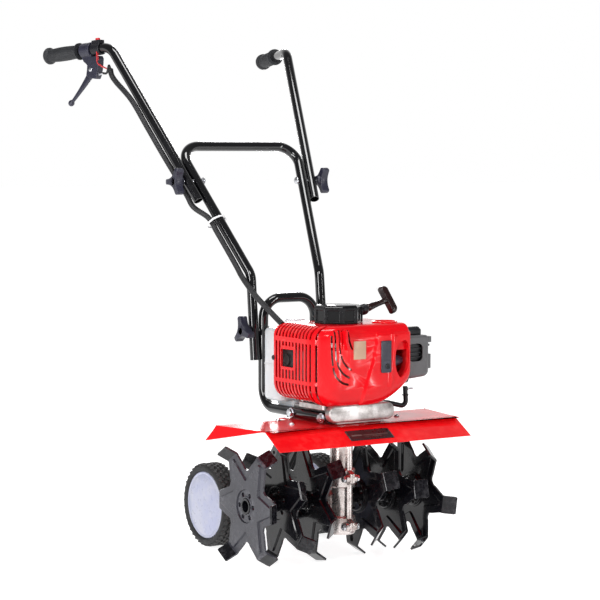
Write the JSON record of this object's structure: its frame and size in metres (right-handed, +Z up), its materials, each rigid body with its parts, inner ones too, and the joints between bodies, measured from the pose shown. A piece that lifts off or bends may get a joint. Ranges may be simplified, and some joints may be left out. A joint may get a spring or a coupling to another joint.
{
  "type": "front tine tiller",
  "caption": "Petrol mini tiller: engine over a vertical worm gearbox, rotating tine discs under a red guard, folding handlebars and rear transport wheels.",
  "frame": {"origin": "on the ground at the middle of the machine's plan", "axes": "+Z up, +X toward the operator's left along the tine axle, +Y toward the operator"},
  "size_m": [0.5472, 0.8066, 0.9893],
  "materials": {
    "red_paint": "gloss",
    "red_plastic": "gloss",
    "black_paint": "gloss",
    "tine_black": "semi-gloss",
    "black_plastic": "satin",
    "grey_plastic": "satin",
    "blue_plastic": "satin",
    "black_rubber": "matte",
    "tyre_rubber": "matte",
    "cast_aluminium": "as cast",
    "gear_casting": "as cast, warm tint",
    "steel": "zinc plated",
    "dark_steel": "heat darkened",
    "brass": "machined",
    "white_plastic": "satin",
    "tank_plastic": "translucent satin",
    "red_button": "satin"
  },
  "bodies": {
    "frame": {"base_casting": "cast_aluminium", "hoop": "black_paint", "frame_bolt_front": "steel", "frame_bolt_rear": "steel", "guard": "red_paint", "guard_plate": "black_plastic", "stay_rod": "black_plastic", "gear_case_right": "gear_casting", "gear_case_left": "gear_casting", "case_bolt_lower": "steel", "case_bolt_upper": "steel", "crankcase": "cast_aluminium", "cylinder": "cast_aluminium", "muffler": "dark_steel", "engine_cover": "red_plastic", "cover_plate": "blue_plastic", "starter_housing": "black_plastic", "air_filter_box": "grey_plastic", "plug_boot": "blue_plastic", "fuel_tank": "tank_plastic", "control_loom": "black_rubber", "knob_bolt_lower_right": "steel", "knob_bolt_lower_left": "steel"},
    "tines": {"tine_axle": "steel", "hub_tube_right": "tine_black", "hub_tube_left": "tine_black", "worm_wheel": "brass", "tine_disc_right_outer": "tine_black", "tine_disc_right_middle": "tine_black", "tine_disc_right_inner": "tine_black", "tine_disc_left_outer": "tine_black", "tine_disc_left_middle": "tine_black", "tine_disc_left_inner": "tine_black"},
    "drive": {"drive_shaft": "steel"},
    "crank": {"flywheel": "cast_aluminium"},
    "recoil": {"starter_grip": "black_plastic", "starter_rope": "white_plastic"},
    "choke": {"choke_lever": "black_plastic"},
    "cap": {"fuel_cap": "white_plastic"},
    "carrier": {"wheel_bracket": "black_paint"},
    "wheel_right": {"tyre_right": "tyre_rubber", "wheel_rim_right": "white_plastic"},
    "wheel_left": {"tyre_left": "tyre_rubber", "wheel_rim_left": "white_plastic"},
    "middle": {"middle_handle": "black_paint", "knob_bolt_upper_right": "steel", "knob_bolt_upper_left": "steel", "zip_tie": "white_plastic"},
    "bar_right": {"upper_handle_right": "black_paint", "grip_right": "black_rubber", "throttle_bracket": "blue_plastic", "switch_clamp": "black_plastic"},
    "bar_left": {"upper_handle_left": "black_paint", "grip_left": "black_rubber"},
    "lever": {"throttle_lever": "blue_plastic"},
    "button": {"stop_button": "red_button"},
    "upper_knob_right": {"knob_upper_right": "blue_plastic"},
    "upper_knob_left": {"knob_upper_left": "blue_plastic"},
    "lower_knob_right": {"knob_lower_right": "blue_plastic"},
    "lower_knob_left": {"knob_lower_left": "blue_plastic"}
  },
  "joints": [
    {"name": "tine_spin", "type": "hinge", "parent": "frame", "child": "tines", "pos_m": [0, -0.2533, 0.115], "axis": [1, 0, 0], "continuous": true},
    {"name": "drive_spin", "type": "hinge", "parent": "frame", "child": "drive", "pos_m": [0, -0.2843, 0.115], "axis": [0, 0, 1], "continuous": true},
    {"name": "crank_spin", "type": "hinge", "parent": "frame", "child": "crank", "pos_m": [0, -0.2843, 0.4], "axis": [0, 0, 1], "continuous": true},
    {"name": "starter_pull", "type": "slide", "parent": "frame", "child": "recoil", "axis": [0.9613, 0, 0.2756], "range_m": [0, 0.06], "stiffness_N_per_m": 60, "springref_m": -0.05},
    {"name": "choke_turn", "type": "hinge", "parent": "frame", "child": "choke", "pos_m": [0.118, -0.3233, 0.428], "axis": [0, 0, 1], "range_deg": [0, 60]},
    {"name": "cap_turn", "type": "hinge", "parent": "frame", "child": "cap", "pos_m": [-0.02, -0.1573, 0.438], "axis": [0, 0, 1], "continuous": true},
    {"name": "carrier_fold", "type": "hinge", "parent": "frame", "child": "carrier", "pos_m": [0, -0.1613, 0.268], "axis": [1, 0, 0], "range_deg": [0, 50]},
    {"name": "wheel_right_spin", "type": "hinge", "parent": "carrier", "child": "wheel_right", "pos_m": [-0.122, -0.0193, 0.081], "axis": [1, 0, 0], "continuous": true},
    {"name": "wheel_left_spin", "type": "hinge", "parent": "carrier", "child": "wheel_left", "pos_m": [0.122, -0.0193, 0.081], "axis": [1, 0, 0], "continuous": true},
    {"name": "middle_fold", "type": "hinge", "parent": "frame", "child": "middle", "pos_m": [0, -0.1033, 0.423], "axis": [1, 0, 0], "range_deg": [0, 50], "deforming": ["control_loom"]},
    {"name": "bar_right_fold", "type": "hinge", "parent": "middle", "child": "bar_right", "pos_m": [-0.142, 0.03514, 0.705], "axis": [1, 0, 0], "range_deg": [0, 110], "deforming": ["control_loom"]},
    {"name": "bar_left_fold", "type": "hinge", "parent": "middle", "child": "bar_left", "pos_m": [0.142, 0.03514, 0.705], "axis": [1, 0, 0], "range_deg": [0, 110]},
    {"name": "lever_squeeze", "type": "hinge", "parent": "bar_right", "child": "lever", "pos_m": [-0.22162, 0.27285, 0.92621], "axis": [0.9603, 0.279, 0], "range_deg": [0, 28], "stiffness_Nm_per_rad": 0.3, "springref_deg": -11.46},
    {"name": "stop_press", "type": "slide", "parent": "bar_right", "child": "button", "axis": [0.0209, -0.072, -0.9972], "range_m": [0, 0.0017], "stiffness_N_per_m": 300, "springref_m": -0.001},
    {"name": "knob_upper_right_turn", "type": "hinge", "parent": "middle", "child": "upper_knob_right", "pos_m": [-0.16, 0.03514, 0.705], "axis": [1, 0, 0], "continuous": true},
    {"name": "knob_upper_left_turn", "type": "hinge", "parent": "middle", "child": "upper_knob_left", "pos_m": [0.16, 0.03514, 0.705], "axis": [1, 0, 0], "continuous": true},
    {"name": "knob_lower_right_turn", "type": "hinge", "parent": "frame", "child": "lower_knob_right", "pos_m": [-0.097, -0.1033, 0.423], "axis": [1, 0, 0], "continuous": true},
    {"name": "knob_lower_left_turn", "type": "hinge", "parent": "frame", "child": "lower_knob_left", "pos_m": [0.097, -0.1033, 0.423], "axis": [1, 0, 0], "continuous": true}
  ],
  "couplings": [
    {"joint": "drive_spin", "follows": "tine_spin", "ratio": 16}
  ]
}
